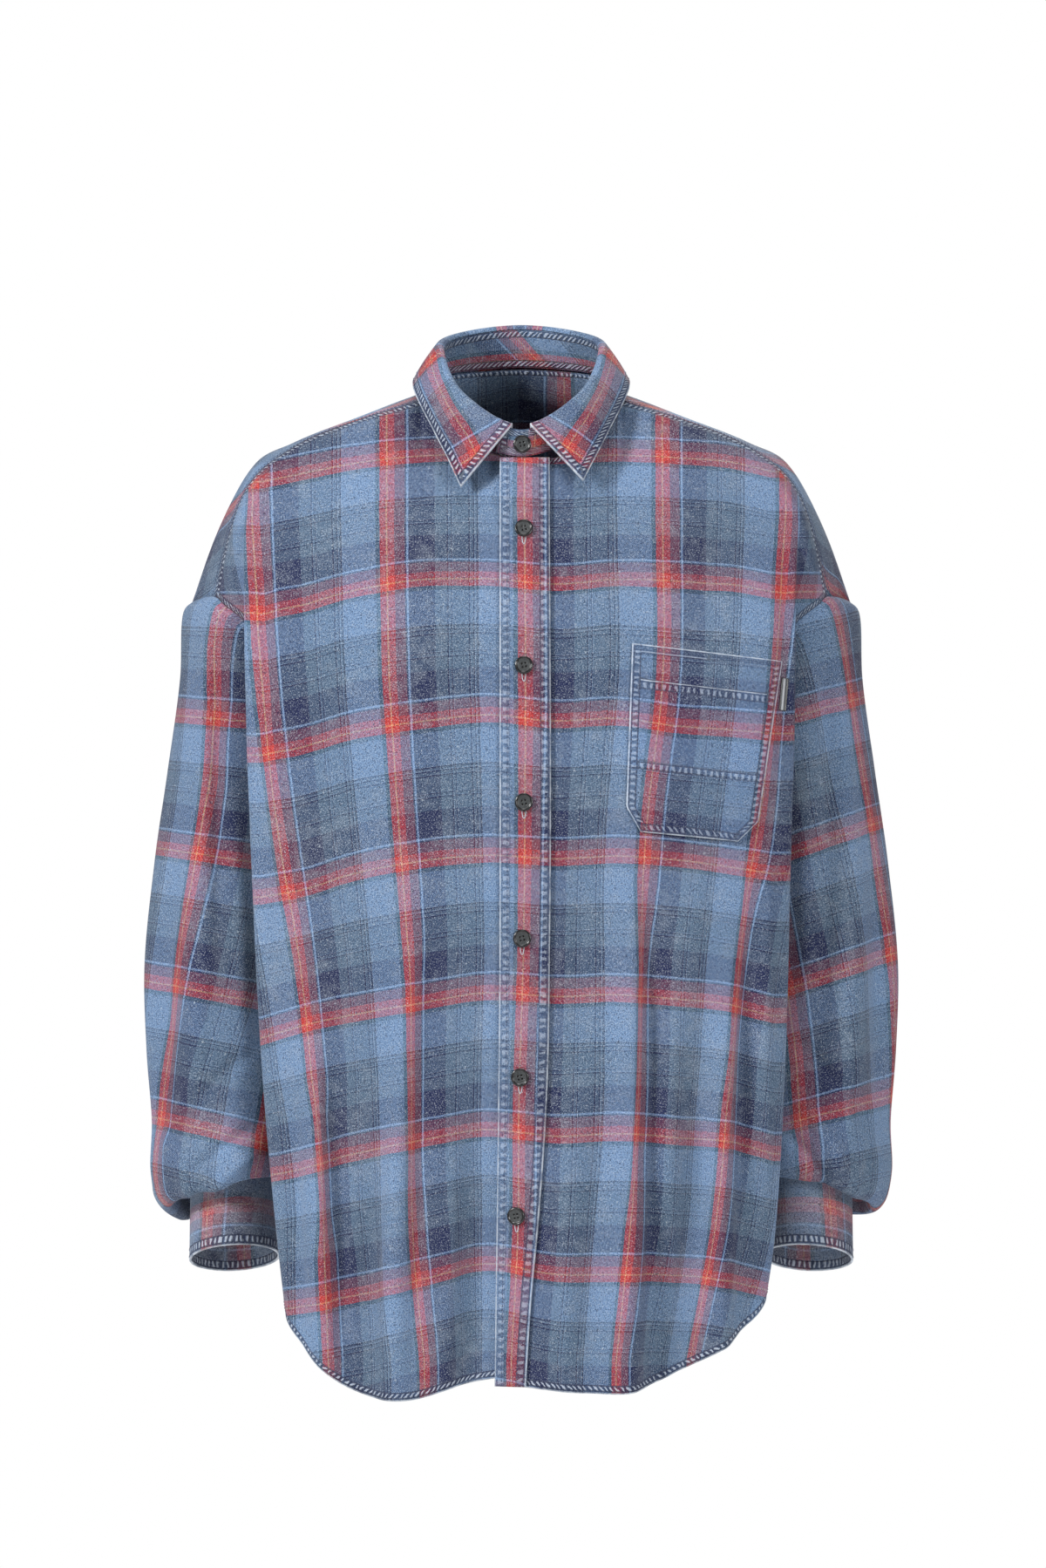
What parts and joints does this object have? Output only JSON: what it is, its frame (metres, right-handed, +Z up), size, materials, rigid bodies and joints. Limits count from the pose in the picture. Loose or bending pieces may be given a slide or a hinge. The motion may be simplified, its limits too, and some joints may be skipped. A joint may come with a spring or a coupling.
{
  "type": "button-up shirt",
  "caption": "Oversized checked twill shirt as worn: buttoned placket, pointed collar, chest pocket, dropped shoulders, long sleeves bagging over the cuffs.",
  "frame": {"origin": "middle of the neck at the height of the side-neck points, where the wearer's neck holds the shirt", "axes": "+Z up, -Y the way the front faces, +X the wearer's left"},
  "size_m": [0.6034, 0.2713, 0.8593],
  "materials": {
    "cloth": "brushed twill, washed, matt",
    "button": "polished",
    "bar": "satin"
  },
  "bodies": {
    "root": {"front_right": "cloth", "front_left": "cloth", "placket": "cloth", "back": "cloth", "yoke": "cloth", "sleeve_right": "cloth", "sleeve_left": "cloth", "cuff_right": "cloth", "cuff_left": "cloth", "collar_stand": "cloth", "collar": "cloth", "pocket": "cloth", "button_1": "button", "button_2": "button", "button_3": "button", "button_4": "button", "button_5": "button", "button_6": "button", "button_7": "button", "cuff_button_right": "button", "cuff_button_left": "button", "pocket_tab": "bar"}
  },
  "joints": []
}
